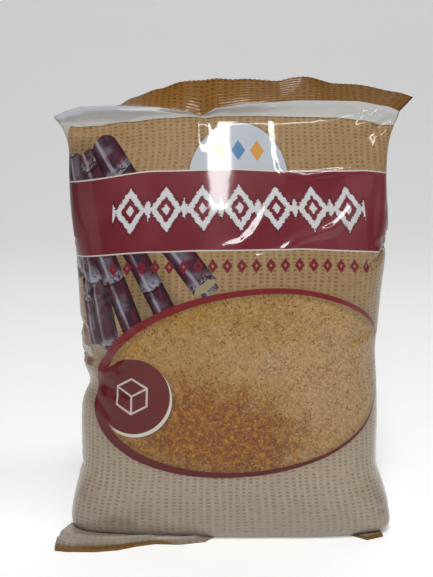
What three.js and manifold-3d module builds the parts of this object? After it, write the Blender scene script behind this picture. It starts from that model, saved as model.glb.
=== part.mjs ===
// A shut pillow pouch filled with brown sugar, standing on its settled base.
// Millimetres, +Z up, the printed front faces -Y. The film, its sealed fins and the sugar are one solid.
import * as THREE from "three";
import { mergeVertices } from "three/addons/utils/BufferGeometryUtils.js";
import Module from "manifold-3d";

// Film and seals
const FIN_HEIGHT = 13; // crimped strip from the top seal to the cut edge
const FIN_THICK = 0.8; // two plies of film, pressed together
const SEAM_WIDTH = 11; // lap seam that closes the tube down the back
const SEAM_THICK = 0.7;
const BASE_FIN_THICK = 1.0;

// Mesh fineness
const COLUMNS = 32; // film columns across one face, from side fold to side fold
const ROWS = 44; // rows from the base up to the top seal
const FIN_ROWS = 3;
const ARC_STEPS = 240; // points on a station's outline before it is shared out between the columns

// Levels of the filled body. left and right are the side folds, front and back the depths from y = 0,
// and box is the exponent of the outline: 2 is an ellipse, more is squarer, less is leaner.
const STATIONS = [
  { z: 0, left: -65, right: 66, front: 20.5, back: 19, box: 2.8 }, // foot, flat on the table
  { z: 3.5, left: -75, right: 73.6, front: 25.5, back: 24, box: 2.8 }, // heel
  { z: 13, left: -75, right: 73.4, front: 28, back: 26.5, box: 2.6 }, // hip
  { z: 31, left: -73.5, right: 69.6, front: 30.5, back: 29, box: 2.45 },
  { z: 53, left: -72.5, right: 67.7, front: 32.5, back: 31, box: 2.35 }, // belly
  { z: 84, left: -68.6, right: 67, front: 33.5, back: 32, box: 2.25 }, // waist
  { z: 106, left: -70, right: 67.6, front: 32.5, back: 31, box: 2.2 },
  { z: 130, left: -72.7, right: 70.2, front: 29.5, back: 28, box: 2.15 }, // chest
  { z: 150, left: -74.8, right: 70.8, front: 25.5, back: 24, box: 2.1 },
  { z: 166, left: -76, right: 70.2, front: 21, back: 19.5, box: 2 }, // shoulder
  { z: 179, left: -76.2, right: 70.4, front: 15.5, back: 14, box: 1.9 },
];

// Top of the pouch as curves over x: the collar is where the filling ends, the seal where the plies meet.
const COLLAR = { left: -77, right: 72.6, front: 9, back: 7.5, box: 1.8 };
const COLLAR_Z = [[-77, 186.4], [-66, 188.4], [-51, 190.3], [-31, 191.8], [-20, 192.6], [-13, 191],
  [-7, 192.8], [8, 192.8], [48, 192.1], [61, 190.9], [73, 186.8]];
const SEAL = { left: -82.5, right: 79.2 };
const SEAL_Z = [[-82.5, 191.6], [-77, 195.2], [-71, 197], [-54, 197.1], [-36, 196.5], [-22, 194.6],
  [-15, 192.6], [-8, 196.2], [6, 198], [31, 199.5], [56, 199.1], [72, 197.4], [79.2, 195.8]];
const SEAL_Y = [[-82.5, 4], [-40, 2.5], [-15, -0.5], [20, 0.5], [60, 2.5], [79.2, 4]];
// How far the fin leans back from upright, in degrees: it lies folded over on the left and stands on the right.
const FIN_LEAN = [[-82.5, 112], [-66, 110], [-54, 100], [-46, 76], [-35, 50], [-23, 18], [-7, 5],
  [7, 17], [20, 38], [33, 33], [46, 52], [60, 52], [72, 56], [79.2, 48]];
const FIN_SPLAY = [[-82.5, -0.2], [-60, 0], [58, 0], [79.2, 0.45]]; // sideways run of the fin per unit of height

// Dents and ridges pressed into the film. A fold runs from its top to its foot, each given as [x, z].
const PINCH = { x: -73, z: 70, across: 13, up: 7.5, depth: 6.5 }; // nip in the left side fold
const RIGHT_DENT = { x: 70, z: 84, across: 9, up: 11, depth: 2.2 };
const RIDGE = { top: [-12, 191], foot: [-4, 150], half: 5, height: 2.6 }; // upright fold below the notch
const CORNER_FOLD = { top: [66, 44], foot: [70, 6], half: 4.5, height: -2.2 }; // lower right corner
const BACK_FOLD = { top: [30, 186], foot: [14, 148], half: 6, height: 1.8 };

// Bottom fin: it runs forward from under the heel and down to its cut edge on the table. Each line across it
// is root (inside the body), seam (top of the fold) and cut edge.
const BASE_FIN = [
  { root: [-76, -3, 6], seam: [-81, -22, 2.2], cut: [-81.5, -39, 0] },
  { root: [-68, -8, 5], seam: [-74, -28, 3.2], cut: [-75.5, -41, 0] },
  { root: [-60, -12, 4], seam: [-62, -29, 3.4], cut: [-62.5, -41, 0] },
  { root: [-50, -13, 3], seam: [-50, -27, 2.2], cut: [-49.6, -32.5, 0] },
  { root: [-38, -13, 1], seam: [-38, -23, 0.8], cut: [-38.3, -27.5, 0] },
  { root: [-25, -13, 0], seam: [-25, -22, 0.2], cut: [-24.7, -29, 0] },
  { root: [-13, -12, 0], seam: [-13, -18, 0], cut: [-13.4, -25.5, 0] },
  { root: [-6, -10, 0], seam: [-6, -13, 0], cut: [-7, -17, 0] },
  { root: [44, -10, 0], seam: [45, -14, 0], cut: [46, -17, 0] },
  { root: [50, -10, 0], seam: [51, -17, 0], cut: [52.5, -26, 0] },
  { root: [59, -8, 0], seam: [60, -16, 0], cut: [62, -25, 0] },
];

const lerp = THREE.MathUtils.lerp;

// Value at x on a list of [x, value] knots, eased between neighbours.
function along(knots, x) {
  if (x <= knots[0][0]) return knots[0][1];
  for (let k = 1; k < knots.length; k++) {
    const [x0, v0] = knots[k - 1];
    const [x1, v1] = knots[k];
    if (x <= x1) return lerp(v0, v1, THREE.MathUtils.smoothstep(x, x0, x1) * 0.5 + ((x - x0) / (x1 - x0)) * 0.5);
  }
  return knots.at(-1)[1];
}

// The line of points shared out into equal steps of length.
function spaced(points, count) {
  const reach = [0];
  for (let k = 1; k < points.length; k++) reach.push(reach[k - 1] + points[k].distanceTo(points[k - 1]));
  const out = [];
  let k = 1;
  for (let i = 0; i <= count; i++) {
    const want = (reach.at(-1) * i) / count;
    while (k < points.length - 1 && reach[k] < want) k++;
    const f = (want - reach[k - 1]) / (reach[k] - reach[k - 1] || 1);
    out.push(points[k - 1].clone().lerp(points[k], THREE.MathUtils.clamp(f, 0, 1)));
  }
  return out;
}

// One face of a station from the left side fold to the right one; way is -1 for the front, +1 for the back.
function face(s, way, height) {
  const mid = (s.left + s.right) / 2;
  const wide = (s.right - s.left) / 2;
  const deep = way < 0 ? s.front : s.back;
  const line = [];
  for (let k = 0; k <= ARC_STEPS; k++) {
    const a = Math.PI * (1 - k / ARC_STEPS);
    const x = mid + wide * Math.sign(Math.cos(a)) * Math.abs(Math.cos(a)) ** (2 / s.box);
    line.push(new THREE.Vector3(x, way * deep * Math.max(Math.sin(a), 0) ** (2 / s.box), height(x)));
  }
  return spaced(line, COLUMNS);
}

// Middle line of the seal, shared out between the columns, with the fin's direction and its thickness vector.
const sealLine = spaced(
  Array.from({ length: ARC_STEPS + 1 }, (_, k) => {
    const x = lerp(SEAL.left, SEAL.right, k / ARC_STEPS);
    return new THREE.Vector3(x, along(SEAL_Y, x), along(SEAL_Z, x));
  }),
  COLUMNS,
);
const finWay = sealLine.map(({ x }) => {
  const lean = THREE.MathUtils.degToRad(along(FIN_LEAN, x));
  return new THREE.Vector3(along(FIN_SPLAY, x), Math.sin(lean), Math.cos(lean));
});
const finSide = (share) =>
  sealLine.map(({ x }, i) => {
    const lean = THREE.MathUtils.degToRad(along(FIN_LEAN, x)) * share;
    const half = i === 0 || i === COLUMNS ? 0 : FIN_THICK / 2;
    return new THREE.Vector3(0, Math.cos(lean), -Math.sin(lean)).multiplyScalar(half);
  });

// How near (x, z) is to the line of a fold, 1 on it and 0 at its half width, fading towards both ends.
function nearFold({ top, foot, half }, x, z) {
  const down = (top[1] - z) / (top[1] - foot[1]);
  if (down < 0 || down > 1) return 0;
  const off = (x - lerp(top[0], foot[0], down)) / half;
  return Math.exp(-2.5 * off * off) * Math.sin(Math.PI * Math.sqrt(THREE.MathUtils.clamp(down, 0, 1)));
}
const nearDent = ({ x, z, across, up }, p) =>
  Math.exp(-(((p.x - x) / across) ** 2) - ((p.z - z) / up) ** 2);

// Presses the dents and lifts the ridges at a point of one face.
function creased(p, way) {
  const q = p.clone();
  q.x += PINCH.depth * nearDent(PINCH, p) - RIGHT_DENT.depth * nearDent(RIGHT_DENT, p);
  if (way < 0) {
    q.y -= RIDGE.height * nearFold(RIDGE, p.x, p.z) + CORNER_FOLD.height * nearFold(CORNER_FOLD, p.x, p.z);
  } else {
    q.y += BACK_FOLD.height * nearFold(BACK_FOLD, p.x, p.z);
  }
  return q;
}

// Rows of one face from the base to the cut edge of the fin.
function faceRows(way) {
  const levels = STATIONS.map((s) => face(s, way, () => s.z));
  levels.push(face(COLLAR, way, (x) => along(COLLAR_Z, x)));
  const under = finSide(0.5);
  levels.push(sealLine.map((p, i) => p.clone().addScaledVector(under[i], way)));
  const columns = sealLine.map((_, i) => {
    const curve = new THREE.CatmullRomCurve3(levels.map((level) => level[i]), false, "centripetal");
    return curve.getSpacedPoints(ROWS).map((p, j) => {
      const q = j > 0 && j < ROWS ? creased(p, i === 0 || i === COLUMNS ? 0 : way) : p;
      q.z = j > 0 ? Math.max(q.z, 0.05 * j) : 0;
      return q;
    });
  });
  const outer = finSide(1);
  for (let r = 1; r <= FIN_ROWS; r++) {
    columns.forEach((column, i) =>
      column.push(
        sealLine[i].clone().addScaledVector(finWay[i], (FIN_HEIGHT * r) / FIN_ROWS).addScaledVector(outer[i], way),
      ),
    );
  }
  return columns[0].map((_, j) => columns.map((column) => column[j]));
}

const wasm = await Module();
wasm.setup();

// A closed solid from two sheets of points, lower or front first, that share the same rows and columns.
function solidBetween(near, far) {
  const rows = near.length - 1;
  const cols = near[0].length - 1;
  const corners = [];
  const quad = (a, b, c, d) => corners.push(a, b, c, a, c, d);
  for (let j = 0; j < rows; j++)
    for (let i = 0; i < cols; i++) {
      quad(near[j][i], near[j][i + 1], near[j + 1][i + 1], near[j + 1][i]);
      quad(far[j][i], far[j + 1][i], far[j + 1][i + 1], far[j][i + 1]);
    }
  for (let i = 0; i < cols; i++) {
    quad(near[rows][i], near[rows][i + 1], far[rows][i + 1], far[rows][i]);
    quad(near[0][i], far[0][i], far[0][i + 1], near[0][i + 1]);
  }
  for (let j = 0; j < rows; j++) {
    quad(near[j][0], near[j + 1][0], far[j + 1][0], far[j][0]);
    quad(near[j][cols], far[j][cols], far[j + 1][cols], near[j + 1][cols]);
  }
  const merged = mergeVertices(new THREE.BufferGeometry().setFromPoints(corners), 1e-4);
  const index = merged.index.array;
  const kept = [];
  for (let t = 0; t < index.length; t += 3) {
    const [a, b, c] = index.slice(t, t + 3);
    if (a !== b && b !== c && c !== a) kept.push(a, b, c);
  }
  return new wasm.Manifold(
    new wasm.Mesh({
      numProp: 3,
      vertProperties: merged.attributes.position.array,
      triVerts: new Uint32Array(kept),
    }),
  );
}

// The filled body with its top fin.
const front = faceRows(-1);
const back = faceRows(1);
const body = solidBetween(front, back);

// The lap seam follows the middle of the back from the heel to just under the seal.
function backSeam() {
  const middle = COLUMNS / 2;
  const lines = { first: 3, last: ROWS - 2 };
  const sheet = (lift) =>
    back.slice(lines.first, lines.last).map((row) =>
      [-0.5, 0.5].map((side) => {
        const p = row[middle].clone();
        p.x += side * SEAM_WIDTH;
        p.y = row[middle + Math.sign(side)].y + lift;
        return p;
      }),
    );
  return solidBetween(sheet(-2), sheet(SEAM_THICK));
}

// The bottom fin as a slab over its root, seam and cut edge.
function baseFin() {
  const sheet = (lift) =>
    ["root", "seam", "cut"].map((part) =>
      BASE_FIN.map((line) => new THREE.Vector3(...line[part]).add(new THREE.Vector3(0, 0, lift))),
    );
  return solidBetween(sheet(0), sheet(BASE_FIN_THICK));
}

const whole = wasm.Manifold.union([body, backSeam(), baseFin()]);

// The solid as a mesh, centred over the origin with its base at z = 0.
function meshOf(solid) {
  const { vertProperties, triVerts, numProp } = solid.getMesh();
  const points = new Float32Array((vertProperties.length / numProp) * 3);
  for (let v = 0; v < points.length / 3; v++)
    points.set(vertProperties.subarray(v * numProp, v * numProp + 3), v * 3);
  const geometry = new THREE.BufferGeometry()
    .setAttribute("position", new THREE.BufferAttribute(points, 3))
    .setIndex(new THREE.BufferAttribute(new Uint32Array(triVerts), 1));
  geometry.computeBoundingBox();
  const { min, max } = geometry.boundingBox;
  geometry.translate(-(min.x + max.x) / 2, -(min.y + max.y) / 2, -min.z);
  geometry.computeVertexNormals();
  const film = new THREE.MeshStandardMaterial({ color: 0x8c7458, roughness: 0.3, metalness: 0 });
  const mesh = new THREE.Mesh(geometry, film);
  mesh.name = "pouch";
  return mesh;
}

const group = new THREE.Group();
group.name = "sugar_pouch";
group.add(meshOf(whole));

export default group;
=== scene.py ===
# %% [markdown]
# # A pouch of brown sugar
# This notebook dresses a solid model of a one-kilogram pouch of sugar for a photograph. The solid has the
# right size and place but a plain skin. Here the skin becomes film: thin, glossy and printed, with crimped
# seals, creases and a lap seam. All lengths are worked out in millimetres, as a packer would give them, and
# turned into Blender's metres where a mesh is made.

# %% Load the solid model as the frame
import math
import bpy
import numpy as np
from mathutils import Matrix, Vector


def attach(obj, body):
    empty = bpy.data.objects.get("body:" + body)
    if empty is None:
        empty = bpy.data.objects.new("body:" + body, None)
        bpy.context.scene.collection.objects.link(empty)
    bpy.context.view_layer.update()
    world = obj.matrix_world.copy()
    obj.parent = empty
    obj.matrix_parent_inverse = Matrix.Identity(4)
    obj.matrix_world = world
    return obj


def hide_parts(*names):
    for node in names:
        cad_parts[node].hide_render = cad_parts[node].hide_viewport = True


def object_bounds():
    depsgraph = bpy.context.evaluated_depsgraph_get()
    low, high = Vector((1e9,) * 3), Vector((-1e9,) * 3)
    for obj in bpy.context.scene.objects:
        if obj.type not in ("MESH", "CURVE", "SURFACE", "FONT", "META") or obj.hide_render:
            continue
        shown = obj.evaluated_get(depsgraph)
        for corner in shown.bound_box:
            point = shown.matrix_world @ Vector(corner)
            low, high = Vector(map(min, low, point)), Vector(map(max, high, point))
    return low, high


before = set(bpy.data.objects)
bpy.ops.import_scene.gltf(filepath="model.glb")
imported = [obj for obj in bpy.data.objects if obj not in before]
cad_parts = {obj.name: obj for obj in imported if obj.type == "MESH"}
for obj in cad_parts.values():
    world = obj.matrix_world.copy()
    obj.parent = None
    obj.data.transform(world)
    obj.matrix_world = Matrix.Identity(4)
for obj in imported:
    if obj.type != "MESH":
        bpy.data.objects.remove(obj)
CAD_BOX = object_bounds()
MM = 0.001
print("solid model, mm:", [round(v / MM, 1) for v in CAD_BOX[1] - CAD_BOX[0]])


def add_object(name, data):
    """A new object with this data, in the scene."""
    made = bpy.data.objects.new(name, data)
    bpy.context.scene.collection.objects.link(made)
    return made


# %% [markdown]
# ## The shape of the filled pouch
# A pillow pouch is a tube of film, sealed across at both ends and filled with sugar. Settled on a table,
# each level of it is a rounded outline between two side folds: broad and boxy at the foot, deep at the
# waist and lean at the shoulder. The shape could be sculpted, but a few measured outlines, blended up the
# height, keep to the real sizes and give every point of the film its own place on the print. They follow
# the solid model to a few millimetres.

# %% Levels of the pouch, in millimetres
# height, left fold, right fold, front depth, back depth, squareness (2 is an ellipse, more is boxier)
LEVELS = [
    (0, -65, 66, 20.5, 19, 4),  # foot, flat on the table
    (3.5, -75.4, 73.2, 25.5, 24, 4.2),  # heel
    (13, -75.4, 72.2, 28, 26.5, 3.5),  # hip
    (31, -71.2, 67.4, 30.5, 29, 2.8),
    (53, -71.5, 67.4, 32.5, 31, 2.45),  # belly
    (84, -70.6, 67, 33.5, 32, 2.25),  # waist
    (106, -72.2, 68.4, 32.5, 31, 2.2),
    (130, -73.8, 71, 29.5, 28, 2.15),  # chest
    (150, -75.9, 71.6, 25.5, 24, 2.1),
    (166, -76.6, 71.2, 21, 19.5, 2),  # shoulder
    (179, -76.6, 71.4, 15.5, 14, 1.9),
]
COLLAR = (-79.2, 72.8, 9, 7.5, 1.8)  # the level under the seal, without its height
# (x, value) from left to right: the height of the collar and of the seal, how far back the seal lies, and how
# the fin over it leans (degrees from upright), splays and grows
COLLAR_HEIGHT = [(-79, 187.6), (-66, 188.4), (-51, 190.3), (-31, 191.8), (-20, 192.4), (-13, 191.8),
                 (-7, 192.6), (8, 192.8), (48, 192.1), (61, 190.9), (73, 186.8)]
SEAL_ENDS = (-83, 76)
SEAL_HEIGHT = [(-83, 192), (-80.5, 193.2), (-76, 195), (-70, 196.5), (-54, 196.9), (-36, 196.5), (-22, 194.6),
               (-15, 192.6), (-8, 196.2), (6, 198), (31, 199.5), (56, 199.1), (70, 196.8), (76, 194.6)]
SEAL_DEPTH = [(-83, 4), (-40, 2.2), (-15, 0.9), (20, 0.6), (60, 2.5), (76, 4)]
FIN_LEAN = [(-82.5, 116), (-68, 112), (-57, 97), (-48, 74), (-35, 50), (-23, 18), (-7, 5), (7, 17), (20, 38),
            (33, 33), (46, 52), (60, 54), (70, 60), (76, 60)]
FIN_SPLAY = [(-82.5, 0.25), (-66, 0.05), (56, 0), (76, 0.6)]
FIN_EXTRA = [(-50, 0.4), (-34, 0), (-23, 1.4), (-15, 3.6), (-8, 0.6), (0, -0.8), (12, -1.3), (20, -0.9),
             (27, 0)]  # the cut edge runs straight over the notch of the seal
FIN_TALL = 13.0
FIN_THICK = 0.8
OFF_TABLE = 0.02  # least height of the film round the flat foot

COLUMNS = 144  # columns of the film across one face
BODY_ROWS = 180  # rows from the seal down to the table
FIN_ROWS = 40  # rows up the crimped fin
ARC_STEPS = 720  # fine points along an outline, before they are spaced out
CURVE_STEPS = 24  # fine points between two levels


# %% Helpers for outlines
def along(knots, x):
    """The value at x on a list of (x, value) knots, eased a little at each knot."""
    at, value = np.array(knots, float).T
    x = np.clip(x, at[0], at[-1])
    k = np.clip(np.searchsorted(at, x) - 1, 0, len(at) - 2)
    f = (x - at[k]) / (at[k + 1] - at[k])
    eased = 0.5 * f + 0.5 * f * f * (3 - 2 * f)
    return value[k] + (value[k + 1] - value[k]) * eased


def spaced(line, count):
    """The points of a line shared out into equal steps of its length."""
    step = np.linalg.norm(np.diff(line, axis=0), axis=1)
    reach = np.concatenate([[0.0], np.cumsum(step)])
    want = np.linspace(0.0, reach[-1], count + 1)
    return np.stack([np.interp(want, reach, line[:, k]) for k in range(3)], axis=1)


def outline(height, left, right, deep, box, way):
    """One face of a level, from the left fold to the right one; way is -1 in front and +1 behind."""
    a = np.pi * (1 - np.linspace(0, 1, ARC_STEPS + 1))
    x = (left + right) / 2 + (right - left) / 2 * np.sign(np.cos(a)) * np.abs(np.cos(a)) ** (2 / box)
    y = way * deep * np.clip(np.sin(a), 0, 1) ** (2 / box)
    z = height(x) if callable(height) else np.full_like(x, height)
    return spaced(np.stack([x, y, z], axis=1), COLUMNS)


def smooth_through(stops, count):
    """Points at equal steps on a smooth curve through the stops; stops is (stop, column, xyz)."""
    gap = np.sqrt(np.linalg.norm(np.diff(stops, axis=0), axis=2))[..., None]
    slope = np.zeros_like(stops)
    before = (stops[1:-1] - stops[:-2]) / gap[:-1]
    after = (stops[2:] - stops[1:-1]) / gap[1:]
    share = gap[:-1] / (gap[:-1] + gap[1:])
    slope[1:-1] = before * (1 - share) + after * share
    slope[0], slope[-1] = (stops[1] - stops[0]) / gap[0], (stops[-1] - stops[-2]) / gap[-1]
    pieces = []
    for k in range(len(stops) - 1):
        t = (np.arange(CURVE_STEPS + (k == len(stops) - 2)) / CURVE_STEPS)[:, None, None]
        pieces.append((2 * t**3 - 3 * t**2 + 1) * stops[k] + (t**3 - 2 * t**2 + t) * gap[k] * slope[k]
                      + (3 * t**2 - 2 * t**3) * stops[k + 1] + (t**3 - t**2) * gap[k] * slope[k + 1])
    curve = np.concatenate(pieces)
    return np.stack([spaced(curve[:, c], count) for c in range(curve.shape[1])], axis=1)


# %% The smooth film, as rows from the table up to the cut edge of the top fin
seal_x = np.linspace(*SEAL_ENDS, ARC_STEPS + 1)
SEAL_LINE = spaced(np.stack([seal_x, along(SEAL_DEPTH, seal_x), along(SEAL_HEIGHT, seal_x)], axis=1), COLUMNS)
SEAL_X = SEAL_LINE[:, 0]
LEAN = np.radians(along(FIN_LEAN, SEAL_X))


def ply(share):
    """Half the fin's thickness as a vector across the film; share is how much of the lean it has."""
    half = np.full(COLUMNS + 1, FIN_THICK / 2)
    half[[0, -1]] = 0
    return np.stack([0 * LEAN, np.cos(LEAN * share), -np.sin(LEAN * share)], axis=1) * half[:, None]


def smooth_face(way):
    """Rows of points of the front (-1) or back (+1) film, with no creases yet."""
    levels = LEVELS + [(lambda x: along(COLLAR_HEIGHT, x), *COLLAR)]
    stops = [outline(height, left, right, front if way < 0 else back, box, way)
             for height, left, right, front, back, box in levels]
    stops.append(SEAL_LINE + way * ply(0.5))
    body = smooth_through(np.array(stops), BODY_ROWS)
    body[0, :, 2] = 0
    body[1:, :, 2] = np.maximum(body[1:, :, 2], OFF_TABLE)
    up = np.stack([along(FIN_SPLAY, SEAL_X), np.sin(LEAN), np.cos(LEAN)], axis=1)
    tall = FIN_TALL + along(FIN_EXTRA, SEAL_X)
    rise = (np.arange(1, FIN_ROWS + 1)[:, None] * tall / FIN_ROWS)[..., None]
    return np.concatenate([body, SEAL_LINE + up * rise + way * ply(1.0)])


# %% Where the print's level lines lie on the standing pouch
# film distance below the seal, and the height of that line over the table from left to right
PRINT_LINES = [
    (8, COLLAR_HEIGHT),
    (33, [(-76, 162), (-38, 168), (0, 169), (25, 168), (60, 168), (72, 166)]),
    (68.5, [(-74, 129.5), (-38, 133.3), (-15, 134.3), (29, 134.8), (70, 132)]),
    (129.5, [(-80, 74), (80, 74)]),
    (175, [(-80, 29), (80, 29)]),
]
BELOW_LINES = 80.0  # film below the last line, where the print is as long as the film


def film_distance(face):
    """Film distance below the seal, in millimetres, for each row and column; negative up the fin."""
    body = face[: BODY_ROWS + 1][::-1]
    step = np.linalg.norm(np.diff(body, axis=0), axis=2)
    reach = np.concatenate([np.zeros((1, COLUMNS + 1)), np.cumsum(step, axis=0)])
    down = np.zeros_like(reach)
    film = [0.0] + [line[0] for line in PRINT_LINES] + [PRINT_LINES[-1][0] + BELOW_LINES]
    for c in range(COLUMNS + 1):
        marks = [0.0]
        for _, heights in PRINT_LINES:
            level = along(heights, body[BODY_ROWS // 2, c, 0])
            marks.append(np.interp(-level, -body[:, c, 2], reach[:, c]))
        down[:, c] = np.interp(reach[:, c], marks + [marks[-1] + BELOW_LINES], film)
    fin = -np.arange(1, FIN_ROWS + 1)[:, None] * FIN_TALL / FIN_ROWS * np.ones((1, COLUMNS + 1))
    return np.concatenate([down[::-1], fin])


# %% Lay both faces of the film and find where they stand in the frame
front_film, back_film = smooth_face(-1), smooth_face(1)
front_down, back_down = film_distance(front_film), film_distance(back_film)
FILM_WIDE = 168.0  # lay-flat width: half of the way round the tube
ACROSS = np.linspace(-FILM_WIDE / 2, FILM_WIDE / 2, COLUMNS + 1)
SOLID_LOW = np.array([-85.1, -41.0, 0.0])  # left tip of the solid's top fin, front of its bottom fin, table
PLACE = np.array(CAD_BOX[0]) / MM - SOLID_LOW
print("film:", front_film.shape[0], "rows of", COLUMNS + 1, "points; moved by", PLACE.round(2), "mm")

# %% [markdown]
# ## Letting the film settle
# Film can't stretch and can't shrink: the tube is 336 mm round at every height, and every line down it is
# as long as its neighbours. The pouch is leaner than that at its heel and shoulders, so the spare film
# stands up in small random wrinkles, and no two pouches have the same ones. Cloth finds them. The rest
# shape of the cloth is the flat tube, the sugar inside is a light pressure, and weak pins hold every point
# near its smooth place, so only wrinkles form.

# %% A coarse tube with the rest lengths of the flat film
LATTICE_STEP = 2  # every second row and column takes part
SETTLE_FRAMES = 24
MOST_LIFT = 3.0  # millimetres that a wrinkle may move the film
HOLD = 0.04  # weight of the weak pins in the middle of the film
WRINKLE_GAIN = 1.9
CALM = 0.85  # share of the wrinkles taken away where the seal pulls the front's shoulder taut
CALM_X, CALM_Z = [-52, -34, 52, 66], [112, 132, 190, 197]  # where none, all, all and none of that is taken
HEEL_HEIGHT, HEEL_SHARE = [0, 12, 40], [0.2, 0.45, 1.0]  # the heel is packed tight, with fewer wrinkles
SPARE_ROUND, SPARE_TALL = 0.03, 0.02  # extra film above the sugar, where the pouch holds only air
SUGAR_TOP, AIR_FROM = 0.55, 0.8  # shares of the height between which the spare film grows
TALL_PERCENTILE = 92  # the flat film is as tall as nearly the longest of its columns
coarse = (slice(0, BODY_ROWS + 1, LATTICE_STEP), slice(None, None, LATTICE_STEP))
coarse_front, coarse_back = front_film[coarse], back_film[coarse]
ring = np.concatenate([coarse_front, coarse_back[:, -2:0:-1]], axis=1)
ring_rows, ring_columns = ring.shape[:2]
columns_tall = np.linalg.norm(np.diff(ring, axis=0), axis=2).sum(axis=0)
film_tall = np.percentile(columns_tall, TALL_PERCENTILE)
print("columns are", columns_tall.min().round(1), "to", columns_tall.max().round(1), "mm tall")


def flat_tube():
    """The rest shape: a true cylinder with the girth and the height of the flat film."""
    turn = 2 * np.pi * np.arange(ring_columns) / ring_columns
    up = np.linspace(0, 1, ring_rows)[:, None]
    over_sugar = np.clip((up - SUGAR_TOP) / (AIR_FROM - SUGAR_TOP), 0, 1)
    radius = FILM_WIDE / np.pi * (1 + SPARE_ROUND * over_sugar)
    step = film_tall / (ring_rows - 1) * (1 + SPARE_TALL * over_sugar)
    rise = np.cumsum(step, axis=0) - step[:1] + 0 * turn
    return np.stack([-radius * np.cos(turn) + 0 * rise, -radius * np.sin(turn) + 0 * rise, rise], axis=-1)


# %% Run the cloth
FILM_CLOTH = {
    "quality": 6, "mass": 0.001, "tension_stiffness": 40, "compression_stiffness": 40, "shear_stiffness": 15,
    "bending_stiffness": 0.8, "tension_damping": 2, "compression_damping": 2, "shear_damping": 2,
    "use_pressure": True, "uniform_pressure_force": 80, "vertex_group_mass": "hold", "pin_stiffness": 1.0,
}


def settled_ring():
    """The tube after the cloth has settled, in millimetres."""
    number = np.arange(ring_rows * ring_columns).reshape(ring_rows, ring_columns)
    beside = np.roll(number, -1, axis=1)
    quads = np.stack([number[:-1], beside[:-1], beside[1:], number[1:]], axis=-1).reshape(-1, 4)
    mesh = bpy.data.meshes.new("settling film")
    mesh.from_pydata([tuple(p * MM) for p in ring.reshape(-1, 3)], [], quads.tolist())
    tube = add_object("settling film", mesh)
    tube.shape_key_add(name="standing")
    rest = tube.shape_key_add(name="flat film")
    rest.data.foreach_set("co", (flat_tube() * MM).astype(np.float32).ravel())
    hold = tube.vertex_groups.new(name="hold")
    hold.add(number[1:-1].ravel().tolist(), HOLD, "REPLACE")
    hold.add(number[[0, 1, -2, -1]].ravel().tolist(), 1.0, "REPLACE")
    cloth = tube.modifiers.new("Cloth", "CLOTH")
    for name, value in FILM_CLOTH.items():
        setattr(cloth.settings, name, value)
    cloth.settings.rest_shape_key = rest
    cloth.settings.effector_weights.gravity = 0
    cloth.collision_settings.use_collision = False
    scene = bpy.context.scene
    for moment in range(1, SETTLE_FRAMES + 1):
        scene.frame_set(moment)
    seen = tube.evaluated_get(bpy.context.evaluated_depsgraph_get()).to_mesh()
    places = np.empty(len(seen.vertices) * 3, dtype=np.float32)
    seen.vertices.foreach_get("co", places)
    scene.frame_set(1)
    bpy.data.objects.remove(tube)
    bpy.data.meshes.remove(mesh)
    return places.reshape(ring_rows, ring_columns, 3).astype(float) / MM


def calm_share(film):
    """1 in the middle of the front's shoulder, where the film is taut, fading to 0 around it."""
    fade = [0, 1, 1, 0]
    return np.interp(film[..., 0], CALM_X, fade) * np.interp(film[..., 2], CALM_Z, fade)


def refine(values, axis):
    """Doubles the points along an axis, with the new ones on smooth curves between the old."""
    values = np.moveaxis(values, axis, 0)
    padded = np.concatenate([values[:1], values, values[-1:]])
    between = (9 * (padded[1:-2] + padded[2:-1]) - padded[:-3] - padded[3:]) / 16
    fine = np.empty((2 * len(values) - 1,) + values.shape[1:])
    fine[::2], fine[1::2] = values, between
    return np.moveaxis(fine, 0, axis)


def broad_part(lift, rounds=24):
    """The slow part of a movement, by averaging each point with its neighbours again and again."""
    slow = lift.copy()
    for _ in range(rounds):
        slow = (np.roll(slow, 1, axis=1) + 2 * slow + np.roll(slow, -1, axis=1)) / 4
        slow[1:-1] = (slow[:-2] + 2 * slow[1:-1] + slow[2:]) / 4
    return slow


lift = settled_ring() - ring
lift = (lift - broad_part(lift)) * WRINKLE_GAIN
size = np.linalg.norm(lift, axis=-1, keepdims=True)
print("cloth moves the film by", size.mean().round(2), "mm, and at most", size.max().round(2), "mm")
lift *= MOST_LIFT * np.tanh(size / MOST_LIFT) / np.maximum(size, 1e-6)
lift *= np.interp(ring[..., 2:3], HEEL_HEIGHT, HEEL_SHARE)
front_lift = lift[:, : coarse_front.shape[1]] * (1 - CALM * calm_share(coarse_front))[..., None]
back_lift = np.concatenate([lift[:, :1], lift[:, :coarse_front.shape[1] - 2: -1]], axis=1)
for film, part in ((front_film, front_lift), (back_film, back_lift)):
    film[: BODY_ROWS + 1] += refine(refine(part, 0), 1)
    film[:, :, 2] = np.maximum(film[:, :, 2], 0)
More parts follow.
